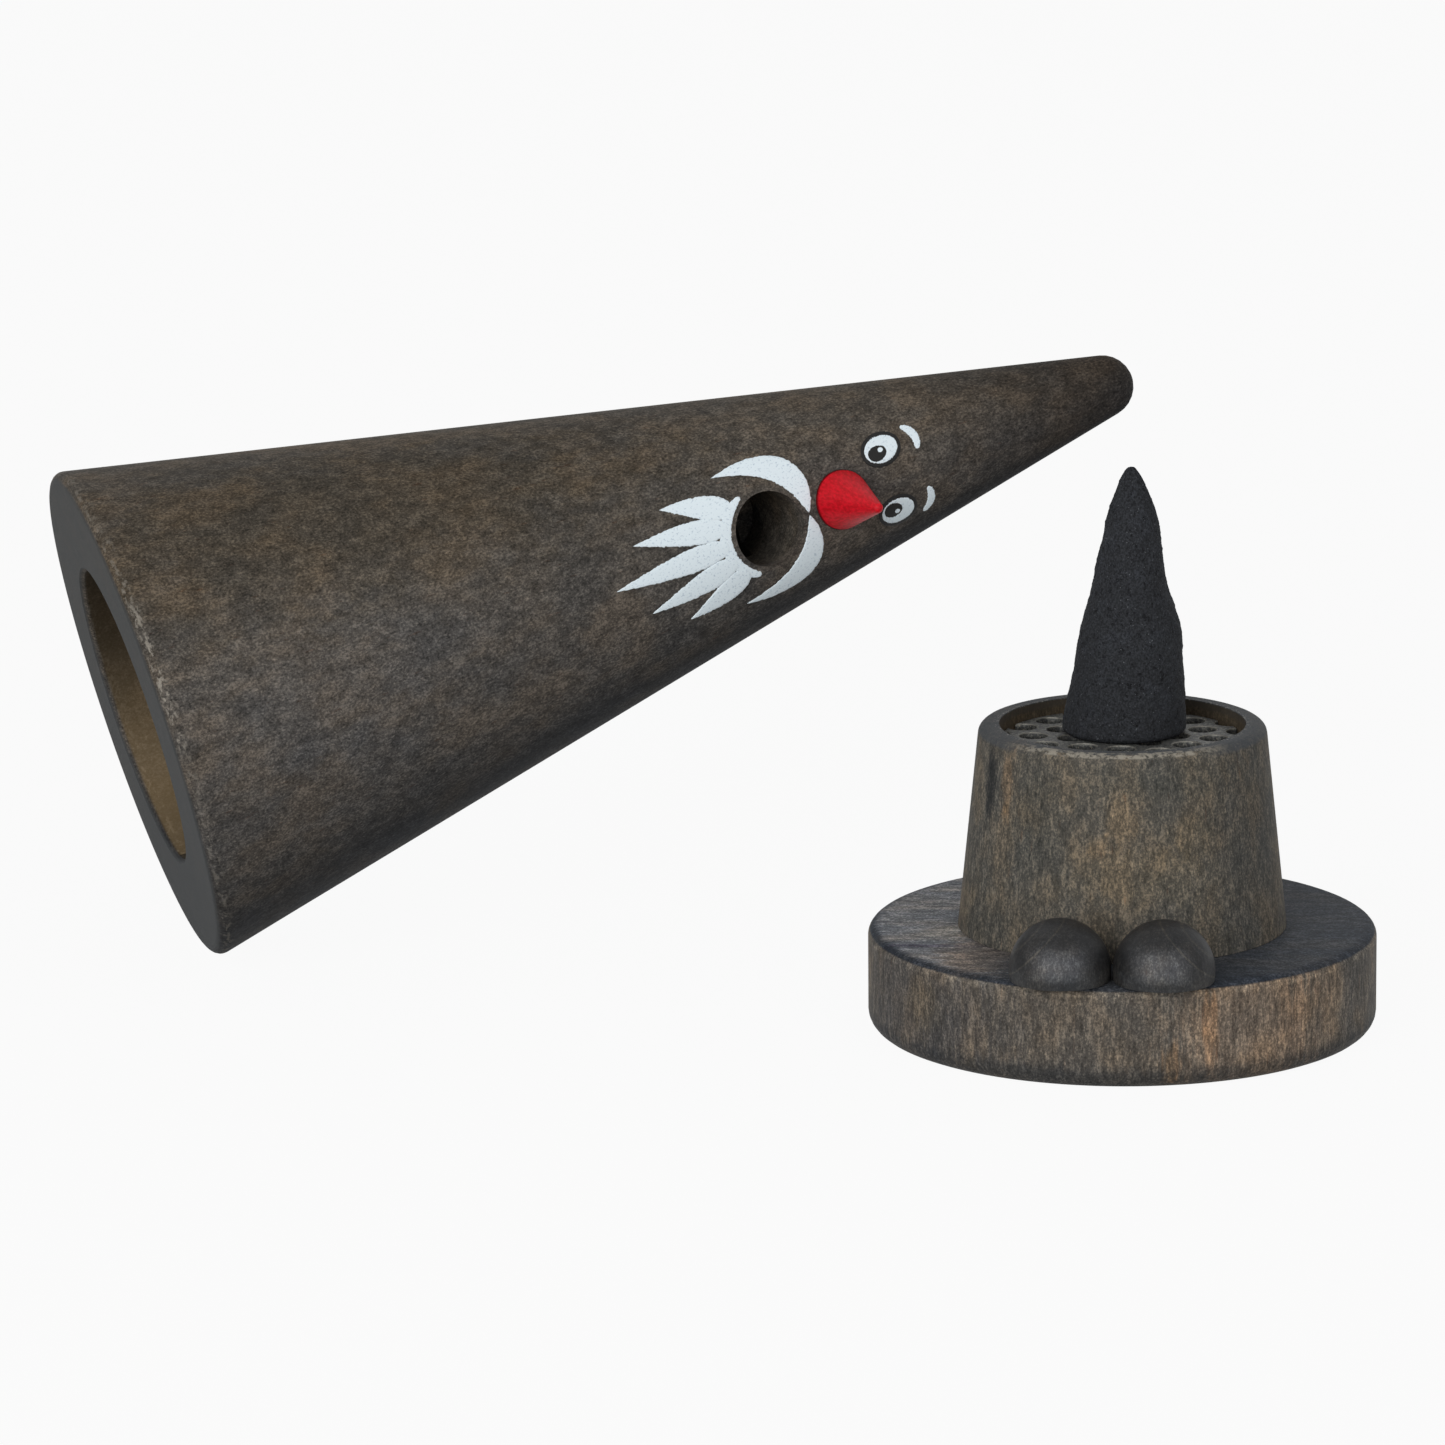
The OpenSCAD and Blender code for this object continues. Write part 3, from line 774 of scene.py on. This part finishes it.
# The radius falls to nothing over the last TIP_ROUND of height, and at the foot by FOOT_CUT
TIP_ROUND, FOOT_ROUND, FOOT_CUT = 0.05, 0.5, 0.06
# The axis leans to the right twice: how far, from which height, and over how much height
LEANS = ((0.45, 0.0, 6.0), (0.24, 17.0, 4.0))
rng = np.random.default_rng(11)


def waves(turn, level, count, turns, lengths, size):
    """Smooth lumps: a sum of count sine waves that close round the cone, with random phases. The
    wave numbers round the cone are whole, and the waves' heights are in millimetres."""
    total = np.zeros(np.broadcast(turn, level).shape)
    for _ in range(count):
        total += np.sin(rng.integers(*turns) * turn + rng.uniform(0, 2 * np.pi)
                        + 2 * np.pi * level / rng.uniform(*lengths) * rng.choice([-1, 1]))
    return size * total / math.sqrt(count)


def lump(turn, level, at_turn, at_level, wide, high, size):
    """One round lump or dent: size x exp(-(turn / wide)^2 - (level / high)^2) about its centre."""
    away = np.angle(np.exp(1j * (turn - math.radians(at_turn))))
    return size * np.exp(-(away / math.radians(wide)) ** 2 - ((level - at_level) / high) ** 2)


share = np.linspace(0, 1, ROWS)[:, None]
turn = np.linspace(0, 2 * np.pi, COLUMNS, endpoint=False)[None, :]
level = INCENSE_H * (1 - (1 - share) ** CROWDED)
radius = INCENSE_R * (1 - (level / INCENSE_H) ** BELLY) ** BLUNT * np.ones_like(turn)
for row in LUMPS:
    radius += lump(turn, level, *row)
for row in ROUGHNESS:
    radius += waves(turn, level, *row)
radius = np.clip(radius, 0, INCENSE_R) * np.clip((INCENSE_H - level) / TIP_ROUND, 0, 1)
radius *= 1 - FOOT_CUT * np.clip(1 - level / FOOT_ROUND, 0, 1) ** 2
lean = sum(far * np.clip((level - start) / rise, 0, 1) for far, start, rise in LEANS)
centre = (incense_low + incense_high) / 2 / MM
cone = np.stack([centre.x + lean + radius * np.cos(turn), centre.y + radius * np.sin(turn),
                 incense_low.z / MM + level + 0 * turn], axis=-1)
floor_row = cone[:1].copy()
floor_row[..., :2] = floor_row[..., :2].mean(1, keepdims=True)
print(f"incense cone: {2 * INCENSE_R:.1f} mm across the foot and {INCENSE_H:.1f} mm high")

# %% [markdown]
# The powder's finish is nearly black, with paler clots, small dark pits and a few grey sparks of
# mineral. The pits also go into the bump, so that light catches their edges.

# %% Pressed charcoal
charcoal, tree = new_material("pressed_charcoal")
own = own_space(tree)
powder = grain(tree, own, (0.2, 0.2, 0.2), detail=4.0, roughness=0.75)
clots = grain(tree, own, (1.6, 1.6, 1.6), detail=4.0, shift=(5.1, 2.2, 0))
pits = grain(tree, own, (0.5, 0.5, 0.7), detail=3.0, roughness=0.6, shift=(1.1, 9.2, 3.0))
sparks = grain(tree, own, (0.15, 0.15, 0.15), detail=0.0, shift=(2.9, 0.2, 7.0))
black = blend(tree, step(tree, powder, 0.36, 0.66), linear("#17181a"), linear("#34363a"))
black = tint(tree, step(tree, clots, 0.45, 0.68), black, (1.2, 1.22, 1.25))
black = tint(tree, step(tree, pits, 0.4, 0.3), black, (0.4, 0.4, 0.42))
black = blend(tree, times(tree, step(tree, sparks, 0.78, 0.84), 0.7), black, linear("#6d7074"))
rough_skin = weighted(tree, (0.5, powder), (1.2, step(tree, pits, 0.3, 0.42)), (0.5, clots))
bump = add(tree, "ShaderNodeBump", {"Height": rough_skin, "Distance": 0.12 * MM, "Strength": 0.9})
shader = add(tree, "ShaderNodeBsdfPrincipled",
             {"Base Color": black, "Roughness": 0.85, "Specular IOR Level": 0.2,
              "Normal": bump.outputs["Normal"]})
finish_material(charcoal, shader)
incense = skin("pressed_incense", np.concatenate([floor_row, cone]) * MM, charcoal)
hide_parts("incense_cone")
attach(incense, "incense")

# %% [markdown]
# ## The painted face
# The face is a plain one: a drooping moustache of two leaf shapes over the smoke hole, a beard
# of five petals under it, two round eyes and two short brows. Each mark is a thin film of paint
# on the cone, made as a flat tube that follows a line: the line gives the middle of the stroke,
# and a width that falls to nothing at both ends gives its round or pointed ends.

# %% Paint
def painted(name, low, high, speck_share):
    """Brushed craft paint: an even colour with fine specks where the wood's pores show."""
    material, tree = new_material(name)
    own = own_space(tree, tuple(mouth_centre), cap_turn)
    pores = grain(tree, own, (0.2, 0.2, 0.24), detail=2.0)
    colour = blend(tree, times(tree, step(tree, pores, 0.56, 0.7), speck_share),
                   linear(high), linear(low))
    bump = add(tree, "ShaderNodeBump", {"Height": pores, "Distance": 0.02 * MM, "Strength": 0.5})
    shader = add(tree, "ShaderNodeBsdfPrincipled",
                 {"Base Color": colour, "Roughness": 0.6, "Specular IOR Level": 0.3,
                  "Normal": bump.outputs["Normal"]})
    finish_material(material, shader)
    return material


white_paint = painted("white_craft_paint", "#b9c9d6", "#e6f2f8", 0.8)
black_paint = painted("black_craft_paint", "#1b1917", "#0d0c0c", 0.5)

# %% [markdown]
# Paint stands on the wood as a film a twentieth of a millimetre thick. Its tube reaches a little
# into the wood, so no gap shows at its edge, and marks that overlap lie on one another in layers.

# %% Paint marks
# Thickness of the film, depth of the tube in the wood, and roughness of a mark's edge
FILM, SUNK, RAGGED = 0.05, 0.03, 0.03
# How much higher each layer of paint lies, and each petal than the one before it
LAYER, PETAL_LAYER = 0.02, 0.004


def stroke(name, middle, half_width, material, lift=0.0, round_steps=20):
    """A paint mark along the points middle (side, up), half_width wide on each side. Round the
    stroke, an angle runs from 0 to a full turn: its cosine goes across the mark, and its sine
    goes up to the film's thickness above the wood and down a little below it. Random steps of
    about RAGGED millimetres make both edges of the mark slightly rough."""
    heading = np.gradient(middle, axis=0)
    heading /= np.linalg.norm(heading, axis=1, keepdims=True)
    across = np.stack([-heading[:, 1], heading[:, 0]], axis=-1)
    turn = np.linspace(0, 2 * np.pi, round_steps, endpoint=False)
    rough = rng.normal(0, RAGGED, (len(middle), 2)) * np.minimum(half_width / 0.3, 1)[:, None]
    edge = half_width[:, None] + np.where(np.cos(turn) > 0, rough[:, :1], rough[:, 1:])
    flat = middle[:, None, :] + across[:, None, :] * (edge * np.cos(turn))[..., None]
    rise = np.where(np.sin(turn) > 0, FILM + lift, SUNK) * np.sign(np.sin(turn))
    rise = rise * np.abs(np.sin(turn)) ** 0.4 * np.ones(len(middle))[:, None]
    piece = skin(name, on_cap(flat[..., 0], flat[..., 1], rise), material)
    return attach(piece, "cap")


def curve(start, control, end, samples=64):
    """Points along a quadratic Bezier: (1-t)^2 start + 2t(1-t) control + t^2 end."""
    t = np.linspace(0, 1, samples)[:, None]
    start, control, end = np.array(start), np.array(control), np.array(end)
    return (1 - t) ** 2 * start + 2 * t * (1 - t) * control + t ** 2 * end


def rounded(power, samples=64):
    """Half width of a mark with round ends: 1 - (2t - 1)^2, raised to the power."""
    t = np.linspace(0, 1, samples)
    return np.clip(1 - (2 * t - 1) ** 2, 0, 1) ** power


def leaf(samples=64, fullest=0.35):
    """Half width of a leaf: it swells to 1 at fullest and runs out to a point."""
    t = np.linspace(0, 1, samples)
    return np.sin(np.pi * t ** (math.log(0.5) / math.log(fullest))) ** 0.9


def disc(name, at, half, material, lift=0.0):
    """A round or oval paint mark about at, with half axes half = (side, up)."""
    rise = np.array([0, half[1]])
    middle = curve(np.array(at) - rise, np.array(at), np.array(at) + rise)
    return stroke(name, middle, half[0] * rounded(0.5), material, lift)


# %% The face's marks
nose_axial = nose_middle @ along / MM
nose_out = nose_middle @ face_out / MM
reach_out = (nose_out - CAP_FOOT_R + nose_axial * CAP_SLOPE) * math.cos(CAP_ANGLE)
NOSE_AT = nose_axial - reach_out * math.sin(CAP_ANGLE)
# Distance between the middles of nose and smoke hole, and the radius of the hole
NOSE_RISE = 8.1
SMOKE_AT = NOSE_AT - NOSE_RISE
HOLE_R = 3.7
# Half axes of the marks that make an eye
EYE_RIM, EYE, PUPIL, GLINT = (1.75, 2.15), (1.4, 1.8), (0.85, 1.0), (0.28, 0.28)
MOUSTACHE_WIDE, BROW_WIDE, COLLAR_WIDE, PETAL_WIDE = 1.3, 0.42, 0.6, 1.2
print(f"nose {NOSE_AT:.1f} mm and smoke hole {SMOKE_AT:.1f} mm above the rim")

for word, sign in (("left", -1), ("right", 1)):
    middle = curve((0.1 * sign, SMOKE_AT + 4.6), (7.2 * sign, SMOKE_AT + 5.2),
                   (6.9 * sign, SMOKE_AT - 3.8))
    stroke(f"moustache_{word}", middle, MOUSTACHE_WIDE * leaf(fullest=0.45), white_paint)
    x, y = 3.3 * sign, NOSE_AT + 5.6
    disc(f"eye_rim_{word}", (x, y), EYE_RIM, black_paint)
    disc(f"eye_{word}", (x, y), EYE, white_paint, lift=LAYER)
    disc(f"pupil_{word}", (x - 0.25 * sign, y - 0.5), PUPIL, black_paint, lift=2 * LAYER)
    disc(f"glint_{word}", (x - 0.05 * sign, y - 0.1), GLINT, white_paint, lift=3 * LAYER)
    middle = curve((2.0 * sign, NOSE_AT + 9.2), (3.6 * sign, NOSE_AT + 9.9),
                   (4.7 * sign, NOSE_AT + 8.3))
    stroke(f"brow_{word}", middle, BROW_WIDE * rounded(0.4), white_paint)

# %% [markdown]
# The beard hangs from a collar, an arc of paint round the lower side of the smoke hole. Its five
# petals fan out from there, and the middle one is the longest.

# %% The beard
PETALS = 5
COLLAR_R = HOLE_R + 0.75
COLLAR_TURN = 68
FAN = math.radians(46)
PETAL_LENGTH, PETAL_LOSS = 12.5, 5.0

collar = np.radians(np.linspace(-COLLAR_TURN, COLLAR_TURN, 64))
middle = np.stack([COLLAR_R * np.sin(collar), SMOKE_AT - COLLAR_R * np.cos(collar)], axis=-1)
stroke("beard_collar", middle, COLLAR_WIDE * rounded(0.35), white_paint)
for k in range(PETALS):
    lean = (k - (PETALS - 1) / 2) / ((PETALS - 1) / 2)
    spread = FAN * lean
    length = PETAL_LENGTH - PETAL_LOSS * abs(lean)
    start = (COLLAR_R * math.sin(spread), SMOKE_AT - (COLLAR_R - 0.3) * math.cos(spread))
    end = (start[0] + length * math.sin(0.45 * spread), start[1] - length * math.cos(0.45 * spread))
    middle = ((start[0] + end[0]) / 2 + 0.5 * lean, (start[1] + end[1]) / 2)
    stroke(f"beard_petal_{k + 1}", curve(start, middle, end), PETAL_WIDE * leaf(fullest=0.28),
           white_paint, lift=PETAL_LAYER * (k + 1))

# %% [markdown]
# ## Light and ground
# The burner stands on a pale floor under soft studio light: a large lamp in front on the left, not
# much higher than the camera, a weaker one on the right, and an even world round it. Rays from the
# camera, and rays that gloss or glass send on, see a white floor and a white world. All other rays
# see a plain grey floor and a dim world, so the white doesn't light the burner.

# %% Floor
FLOOR_WHITE, FLOOR_HALF = 0.94, 4.0


def for_show(tree):
    """1 for rays from the camera and for rays that gloss or glass send on, 0 for all others."""
    rays = add(tree, "ShaderNodeLightPath").outputs
    seen = larger(tree, rays["Is Camera Ray"], rays["Is Glossy Ray"])
    return larger(tree, seen, rays["Is Transmission Ray"])


floor_material, tree = new_material("pale_floor")
matte = add(tree, "ShaderNodeBsdfDiffuse", {"Color": (0.5, 0.5, 0.5, 1)})
bright = add(tree, "ShaderNodeEmission", {"Color": (1, 1, 1, 1), "Strength": 1.0})
share = times(tree, for_show(tree), FLOOR_WHITE)
mixed = add(tree, "ShaderNodeMixShader", {0: share, 1: matte.outputs[0], 2: bright.outputs[0]})
add(tree, "ShaderNodeOutputMaterial", {"Surface": mixed.outputs[0]})
corners = [(x * FLOOR_HALF, y * FLOOR_HALF, 0) for x, y in ((-1, -1), (1, -1), (1, 1), (-1, 1))]
floor_mesh = bpy.data.meshes.new("floor")
floor_mesh.from_pydata(corners, [], [(0, 1, 2, 3)])
floor_mesh.materials.append(floor_material)
floor = bpy.data.objects.new("floor", floor_mesh)
bpy.context.scene.collection.objects.link(floor)
print(f"floor: {2 * FLOOR_HALF:.0f} m wide")

# %% World
WORLD_LIGHT = 0.36
world = bpy.data.worlds.new("studio")
world.use_nodes = True
tree = world.node_tree
tree.nodes.clear()
soft = add(tree, "ShaderNodeBackground", {"Color": (1, 1, 1, 1), "Strength": WORLD_LIGHT})
white = add(tree, "ShaderNodeBackground", {"Color": (1, 1, 1, 1), "Strength": 1.0})
mixed = add(tree, "ShaderNodeMixShader",
            {0: for_show(tree), 1: soft.outputs[0], 2: white.outputs[0]})
add(tree, "ShaderNodeOutputWorld", {"Surface": mixed.outputs[0]})
bpy.context.scene.world = world
print("world light:", WORLD_LIGHT)

# %% Lamps
LIT_POINT = Vector((-0.03, 0.01, 0.03))


def lamp(name, place, size, power):
    """A square soft box at place, aimed at the middle of the burner."""
    light = bpy.data.lights.new(name, "AREA")
    light.shape, light.size, light.energy = "SQUARE", size, power
    box = bpy.data.objects.new(name, light)
    box.location = place
    box.rotation_euler = (LIT_POINT - Vector(place)).to_track_quat("-Z", "Y").to_euler()
    bpy.context.scene.collection.objects.link(box)
    print(f"{name}: {power} W from {(LIT_POINT - Vector(place)).length:.2f} m")


lamp("key_light", (-0.4, -1.0, 0.42), 0.7, 7.4)
lamp("fill_light", (0.6, -0.8, 0.25), 0.6, 2.2)
bpy.context.scene.view_settings.view_transform = "Standard"
